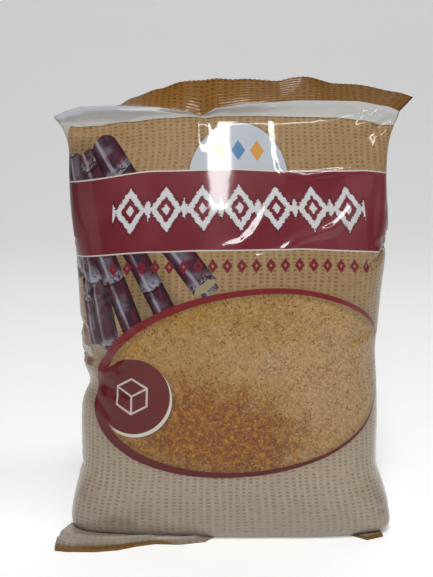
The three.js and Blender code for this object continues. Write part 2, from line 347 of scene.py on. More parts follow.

# %% [markdown]
# ## Creases
# Film doesn't stretch, so where the pouch is leaner than the tube it folds: an upright ridge under the
# notch of the seal, short puckers along the seal, a nip in the left side and soft dents round the heel.
# Each crease here is a line on the pouch with a width and a height, and the film is lifted or pressed along
# it. Simulation gives the small random folds; the ones that catch the light in the photo are listed one by
# one, because a simulation would put them elsewhere.

# %% Listed creases
# (x, z) points along the crease, half width at its start and stop, height (positive is out), in millimetres
FRONT_CREASES = [
    ([(-16, 199), (-16, 190), (-16, 180)], (3, 3), 0.9),  # ridge under the notch
    ([(17, 204), (18.6, 190), (23, 174)], (1, 8), 0.8),  # spike that widens downwards
    ([(37, 192.2), (44.3, 190.8), (47, 191.5), (50, 193.4), (56, 192.8)], (1.8, 1.8), 0.6),  # pucker
    ([(53.5, 185.9), (59, 185.5)], (1.2, 1.2), 0.5),
    ([(60, 193), (64, 184), (65, 172)], (2.2, 2.2), 0.9),  # pleat at the right shoulder
    ([(69, 190), (69.5, 178), (68, 166)], (1.8, 1.8), 0.7),
    ([(-72, 194), (-73, 184), (-71, 172)], (2.5, 2.5), 0.6),  # pleat at the left shoulder
    ([(-60, 195), (-61, 188), (-58, 180)], (2, 2), 0.3),
    ([(19, 177), (20.6, 170), (24, 167), (32, 166), (41, 167.2), (54, 168.9), (69, 168)], (2.4, 2), 1.1),
    ([(58, 158), (54, 153), (49.4, 147.6), (44, 143.2), (37, 141)], (3.6, 2.8), 2.3),  # streaks under that
    ([(46, 144.2), (40, 141.8), (33, 140.2), (27.5, 138.4), (21, 133)], (3, 3), 0.8),
    ([(27, 136.5), (20, 133.6), (8, 130.6)], (1.8, 1.4), 0.85),
    ([(20, 161), (17, 155), (13, 147.5), (8.5, 141), (3, 136.5), (-14, 133.2)], (4.2, 2.6), 0.52),
    ([(21, 155), (29, 156), (38, 159)], (1.6, 1.2), 0.7),
    ([(64.5, 168), (65.5, 162), (63, 150), (62.5, 133)], (2.4, 2.4), -0.9),  # edge of the right side panel
    ([(53, 85), (54.8, 89), (59, 92.4), (67, 93.6)], (2, 2.4), 1.0),  # right dent
    ([(62, 90), (61, 80), (61.5, 66)], (3.6, 4), -0.9),
    ([(-66, 74), (-58, 71), (-48, 69)], (2.6, 2.6), -1.0),  # wrinkles that fan out of the left nip
    ([(-66, 68), (-60, 62), (-54, 55)], (2.4, 2.4), -0.8),
    ([(-66, 78), (-60, 84), (-55, 92)], (2.4, 2.4), -0.5),
    ([(62, 44), (66, 30), (70, 10)], (3, 3), -0.9),  # lower right corner
    ([(57, 34), (62, 20), (64, 6)], (2.6, 2.6), 0.6),
    ([(-56, 18), (-57, 10), (-58, 3)], (2.6, 2.6), 0.4),
    ([(18, 9), (22, 3)], (3.4, 3.4), -1.0),  # small dent at the foot
]
BACK_CREASES = [
    ([(30, 192), (24, 176), (14, 150)], (6, 6), 1.9),  # broad ridge down from the seal
    ([(-34, 191), (-30, 178), (-22, 160)], (4, 4), 1.0),
    ([(56, 190), (58, 176), (56, 162)], (3, 3), 0.9),
    ([(-60, 190), (-58, 178), (-56, 166)], (2.6, 2.6), 0.8),
    ([(-66, 74), (-56, 70), (-44, 69)], (3, 3), -1.0),
    ([(60, 40), (64, 26), (66, 8)], (3, 3), -1.1),
    ([(-62, 30), (-65, 16), (-66, 5)], (3, 3), -0.9),
    ([(20, 120), (34, 112), (50, 110)], (3, 3), 0.6),
]
# middle, reach across and up, and depth of the nip in the left side and of the one in the right
LEFT_NIP = {"x": -72, "z": 70.5, "across": 12, "up": 6.5, "depth": 3.4}
RIGHT_NIP = {"x": 70, "z": 86, "across": 8, "up": 9, "depth": 0.8}
CREASE_STEEP, CREASE_BLUNT = 1.8, 0.6  # how fast a crease falls off beside its line and towards its ends


def line_lift(film, points, halves, height):
    """How far a crease along the points lifts each point of the film, fading out at both ends."""
    flat = film[..., [0, 2]]
    best = np.full(flat.shape[:2], 1e9)
    share = np.zeros(flat.shape[:2])
    ends = np.array(points, float)
    reach = np.concatenate([[0], np.cumsum(np.linalg.norm(np.diff(ends, axis=0), axis=1))])
    for k in range(len(ends) - 1):
        run = ends[k + 1] - ends[k]
        f = np.clip(((flat - ends[k]) @ run) / (run @ run), 0, 1)
        off = np.linalg.norm(flat - ends[k] - f[..., None] * run, axis=-1)
        near = off < best
        best = np.where(near, off, best)
        share = np.where(near, (reach[k] + f * (reach[k + 1] - reach[k])) / reach[-1], share)
    half = halves[0] + (halves[1] - halves[0]) * share
    profile = np.exp(-CREASE_STEEP * (best / half) ** 2) * half / max(halves)
    return height * profile * np.sin(np.pi * np.clip(share, 0.02, 0.98)) ** CREASE_BLUNT


def nip(film, n):
    """How far a nip pushes each point of the film inwards."""
    return n["depth"] * np.exp(-(((film[..., 0] - n["x"]) / n["across"]) ** 2)
                               - ((film[..., 2] - n["z"]) / n["up"]) ** 2)


for film, way, creases in ((front_film, -1, FRONT_CREASES), (back_film, 1, BACK_CREASES)):
    body = film[1:BODY_ROWS]
    body[..., 0] += nip(body, LEFT_NIP) - nip(body, RIGHT_NIP)
    lift = sum(line_lift(body, *crease) for crease in creases)
    lift[:, [0, -1]] = 0
    body[..., 1] += way * lift
    print(len(creases), "creases pressed into the film")

# %% [markdown]
# ## From rows of points to a mesh
# The front and the back share their side folds, the fin has a cut edge a ply thick, and the base closes the
# bottom, so the film is one closed skin. Each corner of each face also gets a place on the flat printed
# film, its UV, so that the print bends with the film as it would in a press and a former.

# %% A mesh from faces and their places on the film
UV_TALL = 270.0  # film from the cut edge of the top fin down to the far side of the base, in millimetres
BACKWARDS = (0, 3, 2, 1)  # the other way round a face


def cell(j, i):
    """The corners of a face between rows j and j + 1, as (row, column) places going round it."""
    return [(j, i), (j, i + 1), (j + 1, i + 1), (j + 1, i)]


class Skin:
    """A mesh in the making: points in millimetres, faces, and each corner's place on the flat film."""

    def __init__(self, *points):
        self.points, self.faces, self.uvs = list(np.concatenate(points)), [], []

    def add(self, face, places):
        """Adds a face through numbered points; places are across from the front's middle and down."""
        self.faces.append([int(k) for k in face])
        self.uvs.extend(((u + FILM_WIDE / 2) / (2 * FILM_WIDE), 1 - (down + FIN_TALL) / UV_TALL)
                        for u, down in places)

    def add_cell(self, numbers, corners, across, down):
        """Adds the face over these corners of a grid of numbered points."""
        self.add([numbers[c] for c in corners], [(across[c[1]], down[c]) for c in corners])

    def piece(self, name):
        """The finished mesh, in metres and in its place, with a UV map called film."""
        mesh = bpy.data.meshes.new(name)
        mesh.from_pydata([tuple((p + PLACE) * MM) for p in self.points], [], self.faces)
        layer = mesh.uv_layers.new(name="film")
        layer.data.foreach_set("uv", np.array(self.uvs, dtype=np.float32).ravel())
        mesh.shade_smooth()
        mesh.update()
        return add_object(name, mesh)


# %% The closed film
BASE_ROWS = 10
BASE_FROM, BASE_STEP = 212, 4  # film distance where the base begins, and of each of its rows
SERRATION = 0.3  # depth of the zigzag cut; its pitch is two columns
INNER = slice(1, COLUMNS)  # the columns between the side folds


def film_piece(name, front, back):
    """The closed film: two faces that share their side folds, the cut edge of the fin and a base."""
    rows = len(front)
    skin = Skin(front.reshape(-1, 3), back[:, INNER].reshape(-1, 3))
    number = np.arange(rows * (COLUMNS + 1)).reshape(rows, COLUMNS + 1)
    behind = number.copy()
    behind[:, INNER] = number.size + np.arange(rows * (COLUMNS - 1)).reshape(rows, COLUMNS - 1)
    for j in range(rows - 1):
        for i in range(COLUMNS):
            skin.add_cell(number, cell(j, i), ACROSS, front_down)
            skin.add_cell(behind, [cell(j, i)[k] for k in BACKWARDS], FILM_WIDE - ACROSS, back_down)
    for i in range(COLUMNS):
        ring = list(dict.fromkeys([number[-1, i], number[-1, i + 1], behind[-1, i + 1], behind[-1, i]]))
        skin.add(ring, [(ACROSS[i], -FIN_TALL)] * len(ring))
    lines = np.tile(number[0], (BASE_ROWS + 1, 1))
    for r in range(1, BASE_ROWS):
        lines[r, INNER] = len(skin.points) + np.arange(COLUMNS - 1)
        skin.points.extend(front[0, INNER] + (back[0, INNER] - front[0, INNER]) * r / BASE_ROWS)
    lines[-1] = behind[0]
    for r in range(BASE_ROWS):
        for i in range(COLUMNS):
            corners = [cell(r, i)[k] for k in BACKWARDS]
            ring = [lines[c] for c in corners]
            kept = [k for k in range(4) if ring[k] not in ring[:k]]  # a triangle at a side fold
            places = [(ACROSS[corners[k][1]], BASE_FROM + BASE_STEP * corners[k][0]) for k in kept]
            skin.add([ring[k] for k in kept], places)
    return skin.piece(name)


cut = np.where(np.arange(COLUMNS + 1) % 2 == 1, SERRATION, 0.0)[:, None]
for film in (front_film, back_film):
    edge = film[-1] - film[-2]
    film[-1] -= edge / np.linalg.norm(edge, axis=1, keepdims=True) * cut
pouch_film = film_piece("pouch_film", front_film, back_film)
print("film mesh:", len(pouch_film.data.polygons), "faces")

# %% [markdown]
# ## Sums made of nodes
# The ribs of the seals and the whole print are worked out by nodes, from numbers that vary over the film.
# Long chains of Math nodes are hard to read as node calls, so a small helper class lets them be written as
# ordinary sums: every + or * adds one node to the tree that is being drawn.

# %% Fields: numbers that vary over the film
tree = None  # the node tree that is being drawn


class Field:
    """What a socket gives: a number, colour or vector that varies over the film. Its sums are Math nodes."""

    def __init__(self, socket):
        self.socket = socket

    def __add__(self, other):
        return maths("ADD", self, other)

    def __radd__(self, other):
        return maths("ADD", other, self)

    def __sub__(self, other):
        return maths("SUBTRACT", self, other)

    def __rsub__(self, other):
        return maths("SUBTRACT", other, self)

    def __mul__(self, other):
        return maths("MULTIPLY", self, other)

    def __rmul__(self, other):
        return maths("MULTIPLY", other, self)

    def __truediv__(self, other):
        return maths("DIVIDE", self, other)

    def __abs__(self):
        return maths("ABSOLUTE", self)


def feed(made, inputs):
    """Joins fields to sockets of a node, or sets the sockets to plain values."""
    for name, value in inputs.items():
        if isinstance(value, Field):
            tree.links.new(value.socket, made.inputs[name])
        else:
            made.inputs[name].default_value = value


def node(kind, inputs, output=0, **settings):
    """What a new node gives from these inputs."""
    made = tree.nodes.new(kind)
    for name, value in settings.items():
        setattr(made, name, value)
    feed(made, inputs)
    return Field(made.outputs[output])


def maths(operation, *values):
    return node("ShaderNodeMath", dict(enumerate(values)), operation=operation)


def scaled(whole, amount):
    """A colour or a vector times a number."""
    return node("ShaderNodeVectorMath", {0: whole, "Scale": amount}, operation="SCALE")


# %% [markdown]
# ## Crimped seals
# The jaws that close the pouch press fine ribs into the fin, side by side along the seal. They repeat at
# one pitch and follow the film wherever it leans, so a geometry nodes tree makes them: it moves each point
# across the film by a wave of its distance up the fin. Both plies move the same way, as they do between two
# jaws.

# %% A node tree that crimps a fin
RIB_PITCH, RIB_DEPTH = 1.3, 0.07  # millimetres
PLAIN_EDGE = 0.6  # millimetres without ribs at the root and at the cut edge

tree = CRIMP = bpy.data.node_groups.new("Crimp ribs", "GeometryNodeTree")
for name, way, kind in (("Geometry", "INPUT", "Geometry"), ("Rib pitch", "INPUT", "Float"),
                        ("Rib depth", "INPUT", "Float"), ("Film", "INPUT", "Material"),
                        ("Geometry", "OUTPUT", "Geometry")):
    CRIMP.interface.new_socket(name, in_out=way, socket_type="NodeSocket" + kind)
given = {socket.name: Field(socket) for socket in CRIMP.nodes.new("NodeGroupInput").outputs}
up_fin, ply_way = (node("GeometryNodeInputNamedAttribute", {"Name": name}, "Attribute", data_type="FLOAT")
                   for name in ("fin_height", "ply"))
on_fin = maths("GREATER_THAN", up_fin, PLAIN_EDGE) * maths("LESS_THAN", up_fin, FIN_TALL - PLAIN_EDGE)
wave = maths("SINE", up_fin * (2 * math.pi) / given["Rib pitch"]) * (on_fin * ply_way)
offset = scaled(node("GeometryNodeInputNormal", {}), wave * (given["Rib depth"] * MM))
crimped = node("GeometryNodeSetPosition", {"Geometry": given["Geometry"], "Offset": offset})
crimped = node("GeometryNodeRealizeInstances", {"Geometry": crimped})
crimped = node("GeometryNodeSetMaterial", {"Geometry": crimped, "Material": given["Film"]})
feed(CRIMP.nodes.new("NodeGroupOutput"), {"Geometry": crimped})
print("crimp tree:", len(CRIMP.nodes), "nodes")

printed_film = bpy.data.materials.new("Printed film")


def crimp(piece, heights, ways):
    """Presses ribs into a piece, given each point's height up the fin and the way that its ply faces."""
    for name, values in (("fin_height", heights), ("ply", ways)):
        attribute = piece.data.attributes.new(name, "FLOAT", "POINT")
        attribute.data.foreach_set("value", np.asarray(values, dtype=np.float32))
    modifier = piece.modifiers.new("ribs", "NODES")
    modifier.node_group = CRIMP
    ribs = {"Rib pitch": RIB_PITCH, "Rib depth": RIB_DEPTH, "Film": printed_film}
    for socket in CRIMP.interface.items_tree:
        if socket.name in ribs:
            modifier[socket.identifier] = ribs[socket.name]
    graph = bpy.context.evaluated_depsgraph_get()
    seen = piece.evaluated_get(graph)
    plain = bpy.data.meshes.new_from_object(seen, preserve_all_data_layers=True, depsgraph=graph)
    piece.modifiers.remove(modifier)
    old, piece.data = piece.data, plain
    bpy.data.meshes.remove(old)
    print(piece.name, "is crimped:", len(plain.polygons), "faces")


# %% Crimp the top fin
rows = len(front_film)
fin_rise = np.maximum(np.arange(rows) - BODY_ROWS, 0) * FIN_TALL / FIN_ROWS
front_points = rows * (COLUMNS + 1)
fin_height = np.zeros(len(pouch_film.data.vertices))
fin_height[:front_points] = np.repeat(fin_rise, COLUMNS + 1)
fin_height[front_points: front_points + rows * (COLUMNS - 1)] = np.repeat(fin_rise, COLUMNS - 1)
ply_side = np.full(len(fin_height), -1.0)  # behind, and 1 in front
ply_side[:front_points] = np.tile(np.arange(COLUMNS + 1) % COLUMNS != 0, rows)  # 0 at the folds
crimp(pouch_film, fin_height, ply_side)

# %% [markdown]
# ## The bottom fin
# Standing the pouch up folds its bottom fin forward, so its left half shows in front as a small apron: it
# comes out from under the heel, rises over the fold of the seam and runs down to its cut edge on the table.
# At the left corner it spreads into an ear. It is a thin slab over three lines, root, seam and cut edge,
# which bends smoothly between them.

# %% Bottom fin
BASE_FIN_THICK = 0.9
# root, top of the seam fold and cut edge of the fin, from left to right, in millimetres
BASE_FIN = [
    [(-72, -1, 2.4), (-79.6, -19, 1.6), (-80.5, -39.5, 0)],
    [(-68, -7, 1.2), (-74, -25, 1.5), (-75, -41.2, 0)],
    [(-60, -12, 0.4), (-62, -26, 1.4), (-62.5, -41.4, 0)],
    [(-52, -13, 0.3), (-52, -26, 1.2), (-52.4, -39, 0)],
    [(-44, -13, 0.2), (-44, -23, 1), (-44.4, -34, 0)],
    [(-36, -13, 0.2), (-36, -22, 0.9), (-36, -30.5, 0)],
    [(-25, -13, 0), (-25, -22, 0.7), (-24.7, -31.4, 0)],
    [(-13, -12, 0), (-13, -18, 0.4), (-13.4, -27.6, 0)],
    [(-6, -10, 0), (-6, -13, 0), (-6.6, -17, 0)],
    [(51, -10, 0), (52, -14, 0), (53, -17, 0)],
    [(59, -10, 0.5), (60, -17, 0.8), (61, -25, 0)],
    [(67, -5, 1.5), (67.8, -11, 1.2), (68.8, -20, 0)],
]
FIN_STEPS_ALONG, FIN_STEPS_OUT = 160, 48
FIN_FOLDS = [(0.52, 0.5), (0.62, -0.5), (0.72, 0.6), (0.8, -0.3)]  # share of the way out, height
FIN_WANDER = [(0.03, 9.0), (0.02, 3.7)]  # share of the way out, millimetres along the fin for each radian
FOLD_HALF, FOLDS_STOP, FOLDS_FADE = 0.05, 30, 40  # share of the way out; millimetres along the fin
FIN_FROM = 194.0  # film distance at the root
# film from the root to the cut edge, at places along the fin; its brown edge shows at both ends only
FIN_FILM = ([-38, -22, 30, 40], [24.6, 20, 20, 24])
RIBS_FROM = 0.55  # share of the way out where the ribs begin


def fine_lines(lines, steps_along, steps_out):
    """A fine grid over a few lines across a strip: straight from line to line, curved along each of them."""
    knots = np.array(lines, float)
    at = np.concatenate([[0], np.cumsum(np.linalg.norm(np.diff(knots[:, 2], axis=0), axis=1))])
    want = np.linspace(0, at[-1], steps_along + 1)
    root, top, cut_edge = (np.stack([np.interp(want, at, knots[:, r, k]) for k in range(3)], axis=1)
                           for r in range(3))
    t = np.linspace(0, 1, steps_out + 1)[:, None, None]
    bend = (1 - t) ** 2 * root + 2 * t * (1 - t) * (2 * top - (root + cut_edge) / 2) + t**2 * cut_edge
    return bend, want - at[-1] / 2


def strip_piece(name, inner, outer, across, down):
    """A closed strip between an inner and an outer sheet of points that share their rows and columns."""
    rows, cols = outer.shape[:2]
    skin = Skin(inner.reshape(-1, 3), outer.reshape(-1, 3))
    number = np.arange(rows * cols).reshape(rows, cols)
    over = number + rows * cols
    for j in range(rows - 1):
        for i in range(cols - 1):
            skin.add_cell(number, cell(j, i), across, down)
            skin.add_cell(over, [cell(j, i)[k] for k in BACKWARDS], across, down)
    edges = [((j, i), (j, i + 1), turn) for i in range(cols - 1) for j, turn in ((0, 1), (rows - 1, -1))]
    edges += [((j, i), (j + 1, i), turn) for j in range(rows - 1) for i, turn in ((0, -1), (cols - 1, 1))]
    for a, b, turn in edges:
        skin.add([number[a], over[a], over[b], number[b]][::turn], [(across[a[1]], down[a])] * 4)
    return skin.piece(name)


fin_grid, fin_u = fine_lines(BASE_FIN, FIN_STEPS_ALONG, FIN_STEPS_OUT)
reach_out = np.linspace(0, 1, FIN_STEPS_OUT + 1)
for place, tall in FIN_FOLDS:
    for size, slow in FIN_WANDER:
        place = place + size * np.sin(fin_u / slow)
    fold = np.exp(-(((reach_out[:, None] - place) / FOLD_HALF) ** 2))
    fin_grid[..., 2] += tall * fold * np.clip((-fin_u + FOLDS_STOP) / FOLDS_FADE, 0, 1)
fin_grid[..., 2] = np.maximum(fin_grid[..., 2], 0)
fin_down = FIN_FROM + np.interp(fin_u, *FIN_FILM) * reach_out[:, None]
base_fin = strip_piece("base_fin", fin_grid, fin_grid + np.array([0, 0, BASE_FIN_THICK]), fin_u, fin_down)
out = np.repeat(reach_out, FIN_STEPS_ALONG + 1)
ribs = np.clip((out - RIBS_FROM) / (1 - RIBS_FROM), 0, 1) * FIN_TALL
crimp(base_fin, np.tile(ribs, 2), np.repeat([-1.0, 1.0], len(out)))

# %% [markdown]
# ## The lap seam down the back
# The printed web is folded into a tube and closed down the middle of the back, where one edge lies over the
# other. The seam shows as a flat strip a little proud of the film. It follows the back of the pouch, so it
# takes its middle line and its sides from the film's own rows.

# %% Lap seam
SEAM_HALF = 5  # columns on each side of the middle
SEAM_PROUD, SEAM_SUNK = 0.55, 0.6  # how far it stands out of the film and reaches into it
seam = (slice(8, BODY_ROWS - 5), slice(COLUMNS // 2 - SEAM_HALF, COLUMNS // 2 + SEAM_HALF + 1))
strip = back_film[seam]
out_of_back = np.cross(np.gradient(strip, axis=0), np.gradient(strip, axis=1))
out_of_back /= np.linalg.norm(out_of_back, axis=2, keepdims=True)
out_of_back *= np.sign(out_of_back[..., 1:2])
lap_seam = strip_piece("lap_seam", strip - out_of_back * SEAM_SUNK, strip + out_of_back * SEAM_PROUD,
                       FILM_WIDE - ACROSS[seam[1]], back_down[seam])
lap_seam.data.materials.append(printed_film)
print("lap_seam:", len(lap_seam.data.polygons), "faces")

# %% [markdown]
# ## Writing a print as sums
# The print is flat colour on film, so it can be drawn by a material: each shape is a distance to an
# outline, in millimetres on the flat film, and a mask that is 1 inside it. An image would be quicker to
# paint but would go soft close up.

# %% Fields for shapes
def ease(value, low, high, start=0.0, stop=1.0):
    """Runs smoothly from start to stop while the value runs from low to high."""
    inputs = dict(enumerate((value, low, high, start, stop)))
    return node("ShaderNodeMapRange", inputs, interpolation_type="SMOOTHSTEP")


def inside(distance, soft=0.12):
    """1 where a distance to an outline is below zero, with an edge as soft as ink on film."""
    return ease(distance, -soft, soft, 1.0, 0.0)


def both(a, b):
    return maths("MINIMUM", a, b)


def either(a, b):
    return maths("MAXIMUM", a, b)


def length(x, y):
    return maths("SQRT", x * x + y * y)


def repeat(value, pitch):
    """The place within one repeat of a pattern, from -pitch/2 to pitch/2."""
    return (maths("FRACT", value / pitch + 0.5) - 0.5) * pitch


def circle(x, y, radius):
    return length(x, y) - radius


def lozenge(x, y, half_wide, half_tall):
    """Distance to a lozenge."""
    return (abs(x) / half_wide + abs(y) / half_tall - 1.0) * (0.5 * half_wide)


def box_shape(x, y, half_wide, half_tall, corner=0.0):
    """Distance to an upright rectangle, with rounded corners if asked."""
    dx = maths("MAXIMUM", abs(x) - (half_wide - corner), 0.0)
    dy = maths("MAXIMUM", abs(y) - (half_tall - corner), 0.0)
    return length(dx, dy) - max(corner, 0.01)


def rod(start, stop, radius):
    """Distance to a round-ended rod, how far along it a point is, and how far off its axis (-1 to 1)."""
    run_x, run_y = stop[0] - start[0], stop[1] - start[1]
    size = math.hypot(run_x, run_y)
    along_rod = ((u - start[0]) * run_x + (v - start[1]) * run_y) / size
    off = ((u - start[0]) * run_y - (v - start[1]) * run_x) / size
    past = along_rod - maths("MINIMUM", maths("MAXIMUM", along_rod, 0.0), size)
    return length(past, off) - radius, along_rod, off / radius


# %% Fields for chance
def place_vector(x, y):
    return node("ShaderNodeCombineXYZ", {0: x, 1: y})


def noise(x, y, size, detail=2.0, rough=0.5):
    """Cloudy noise from 0 to 1 with blots about this size, in millimetres."""
    inputs = {"Vector": place_vector(x, y), "Scale": 1 / size, "Detail": detail, "Roughness": rough}
    return node("ShaderNodeTexNoise", inputs, "Fac", noise_dimensions="2D")


def grains(x, y, size):
    """Cells about this size: the distance to the nearest middle, and two random numbers for each cell."""
    inputs = {"Vector": place_vector(x, y), "Scale": 1 / size}
    near = node("ShaderNodeTexVoronoi", inputs, "Distance", voronoi_dimensions="2D")
    split = tree.nodes.new("ShaderNodeSeparateColor")
    feed(split, {0: Field(near.socket.node.outputs["Color"])})
    return near, Field(split.outputs[0]), Field(split.outputs[1])


def chance(x, y):
    """A random number from 0 to 1 that stays the same over each whole step of x and y."""
    whole = place_vector(maths("FLOOR", x), maths("FLOOR", y))
    return node("ShaderNodeTexWhiteNoise", {"Vector": whole}, "Value", noise_dimensions="2D")


# %% Inks
PAINT_LIGHT = 1.02  # share of its own brightness that a matt print shows in this soft light
PAINT_SHEEN = 0.014  # what the gloss adds to every colour, so the ink itself is that much darker
INK_RANGE = (0.004, 0.92)


def linear(value):
    """A screen value from 0 to 255 as light from 0 to 1."""
    value = value / 255
    return value / 12.92 if value <= 0.04045 else ((value + 0.055) / 1.055) ** 2.4


def ink(*screen):
    """Ink that looks like this screen colour under the scene's light."""
    shades = [linear(value) / PAINT_LIGHT - PAINT_SHEEN for value in screen]
    return (*np.clip(shades, *INK_RANGE).tolist(), 1.0)


def paint(below, colour, mask):
    """Lays a colour, or another painted layer, over the one below wherever the mask is 1."""
    return node("ShaderNodeMix", {0: mask, 6: below, 7: colour}, 2, data_type="RGBA")


def tone(stops, at):
    """A colour ramp over a field; stops are (field value, colour), low to high."""
    low, high = stops[0][0], stops[-1][0]
    toned = node("ShaderNodeValToRGB", {0: (at - low) / (high - low)})
    elements = toned.socket.node.color_ramp.elements
    while len(elements) < len(stops):
        elements.new(0.5)
    for element, (value, _) in zip(elements, stops):
        element.position = (value - low) / (high - low)
    for element, (_, colour) in zip(elements, stops):
        element.color = colour
    return toned


def lay(colour, mask):
    """Prints a colour, or a painted layer, on the film wherever the mask is 1."""
    global film_colour
    film_colour = paint(film_colour, colour, mask)


def darken(share, mask):
    """Takes this share of the light from what is printed so far, wherever the mask is 1."""
    global film_colour
    film_colour = scaled(film_colour, 1.0 - share * mask)


# %% Read the place on the film
printed_film.use_nodes = True
tree = printed_film.node_tree
tree.nodes.clear()
split_uv = tree.nodes.new("ShaderNodeSeparateXYZ")
feed(split_uv, {0: node("ShaderNodeUVMap", {}, uv_map="film")})
u = Field(split_uv.outputs[0]) * (2 * FILM_WIDE) - FILM_WIDE / 2
v = (1.0 - Field(split_uv.outputs[1])) * UV_TALL - FIN_TALL
print("the print reads its place from the UV map; u runs across it and v down it, in millimetres")

# %% [markdown]
# ## Sacking behind everything
# The ground of the print is a weave of jute: light upright threads, and between them short dark gaps in
# rows, no two quite alike. The weave is two repeats, across and down, pushed about by noise; its colour
# goes from warm tan at the top to pale grey-beige at the foot, and to brown below that, where the next
# pouch's print begins.

# %% Jute ground
WEAVE_ACROSS, WEAVE_DOWN = 3.1, 1.7  # pitch of the upright threads and of the gaps between cross threads
CRIMP_FROM, BROWN_FROM, BROWN_FULL = 213, 214, 216  # film distances at the foot of the print
GAP_DARK, FIBRE_DARK, THREAD_LIGHT = 0.72, 0.6, 0.16

wobble_u = u + (noise(u, v * 0.5, 16.0) - 0.5) * 3.0 + (noise(u + 9.0, v, 2.5, 1.0) - 0.5) * 0.6
wobble_v = v + (noise(u + 40.0, v, 12.0) - 0.5) * 1.8 + (noise(u * 0.6, v + 13.0, 2.0, 1.0) - 0.5) * 0.4
jute = tone([(-13, ink(118, 85, 48)), (0, ink(126, 90, 50)), (4, ink(144, 118, 87)), (40, ink(141, 116, 85)),
             (90, ink(140, 117, 88)), (130, ink(147, 130, 108)), (180, ink(152, 138, 122)),
             (BROWN_FROM, ink(139, 126, 112)), (BROWN_FULL, ink(112, 84, 50)), (257, ink(116, 90, 58))], v)
thread = abs(repeat(wobble_u, WEAVE_ACROSS)) / WEAVE_ACROSS
row = wobble_v / WEAVE_DOWN
gap_row = abs(repeat(row, 1.0))
one_gap = chance(wobble_u / WEAVE_ACROSS + 0.5, row + 0.5)
blots = noise(u, v, 4.0)
gap = ease(length(thread / 0.4, gap_row / 0.38), 1.0, 0.35) * ease(one_gap + blots * 0.8, 0.05, 1.15)
fibre = noise(u * 3.0, v * 1.6, 1.6, 4.0, 0.7)
warmth = ease(v, 60.0, 190.0, 1.0, 0.6) + ease(v, BROWN_FROM, BROWN_FULL, 0.0, 0.4)
gap_ink = tone([(-13, ink(84, 56, 26)), (0, ink(92, 62, 30)), (5, ink(104, 78, 46)), (90, ink(104, 80, 50)),
                (135, ink(112, 97, 76)), (BROWN_FROM, ink(112, 100, 84)), (BROWN_FULL, ink(84, 58, 30))], v)
thread_light = ease(thread, 0.3, 0.5) * ease(noise(u, v * 0.3, 3.0, 1.0), 0.3, 0.7)
film_colour = scaled(jute, 1.0 + (fibre - 0.5) * FIBRE_DARK * warmth + thread_light * THREAD_LIGHT)
lay(gap_ink, gap * GAP_DARK)
pale_foot = ease(v, 186.0, 210.0) * ease(v, CRIMP_FROM, CRIMP_FROM - 1)
lay(ink(160, 151, 144), pale_foot * 0.45)
# painted shade: the right half of the top fin, which leans back towards the lights, is darkened
darken(0.2, inside(v, 1.0) * ease(u, -10.0, 40.0))  # the right half of the top fin

# %% [markdown]
# ## Cane stalks
# A sheaf of purple-brown stalks leans in from the upper left, behind the band and the oval. Each stalk is a
# rod, cut flat at its lower end: dark at its sides, with a thin light line along it and a waxy grey bloom
# over each joint. One function draws a stalk, so the sheaf is a short list of ends and thicknesses.

# %% Cane stalks
# (upper end, lower end, half thickness) as places on the film, back to front
STALKS = [
    ((-83, 25), (-77.5, 80), 5.0),
    ((-40, 48), (-8.5, 88), 4.2),
    ((-72, 30), (-52.5, 118), 4.4),
    ((-76, 29), (-63.3, 112), 4.3),
    ((-74, 26), (-56, 112), 4.9),
    ((-75.5, 25.5), (-36, 122), 5.1),
    ((-67.5, 24), (-20, 113), 5.0),
    ((-60.5, 19), (-11.5, 85.3), 6.0),
]
SHEAF = ((-68, 26), (-30, 104), 12.0)  # the shadow between the stalks, as one broad rod
JOINT_PITCH = 33.0
CUT_DEEP, CUT_WIDE = 1.9, 0.95  # cut face of the last stalk: half its depth, share of its width


def stalk(below, start, stop, radius):
    """One stalk painted over what is below it."""
    edge, along_rod, off = rod(start, stop, radius)
    edge = either(edge, along_rod - math.dist(start, stop))
    streaks = noise(off * 7.0 + start[0], along_rod * 0.22, 1.4, 3.0)
    body = paint(ink(58, 46, 54), ink(86, 44, 53), ease(streaks, 0.42, 0.62))
    patches = noise(off * 2.0 + start[0], along_rod * 0.7, 6.0, 3.0)
    body = paint(body, ink(105, 101, 111), ease(abs(off + 0.1), 0.8, 0.2) * ease(patches, 0.46, 0.66) * 0.6)
    light_line = ease(abs(off + 0.36), 0.2, 0.04) * ease(patches + streaks, 0.7, 1.1, 0.35, 1.0)
    body = paint(body, ink(150, 146, 156), light_line * 0.62)
    joint = repeat(along_rod + start[0] * 3.0 + off * off * 1.2, JOINT_PITCH)
    bloom = ease(noise(u, v, 1.6, 3.0, 0.7) + patches * 0.6, 0.66, 0.9)
    body = paint(body, ink(146, 148, 156), ease(joint, -7.0, -1.0) * ease(joint, 0.2, -0.3) * bloom * 0.8)
    body = paint(body, ink(48, 36, 40), ease(abs(joint - 0.4), 0.7, 0.2) * 0.8)
    body = scaled(body, ease(abs(off), 1.0, 0.45, 0.4, 1.0))
    return paint(below, body, inside(edge, 0.18))


darken(0.3, inside(rod(*SHEAF)[0], 3.0))
for start, stop, radius in STALKS:
    film_colour = stalk(film_colour, start, stop, radius)
_, past_cut, over_cut = rod(*STALKS[-1])
cut_face = length((past_cut - math.dist(*STALKS[-1][:2])) / CUT_DEEP, over_cut / CUT_WIDE) - 1.0
lay(ink(137, 124, 100), inside(cut_face, 0.08))
print(len(STALKS), "stalks")

# %% [markdown]
# ## The band and the white dome
# A wine-red band crosses the front and goes right round the pouch, with a hairline of off-white at each
# edge. A white dome stands on it. A chain of rough white lozenges runs along the band, and the dome holds
# three small ones.

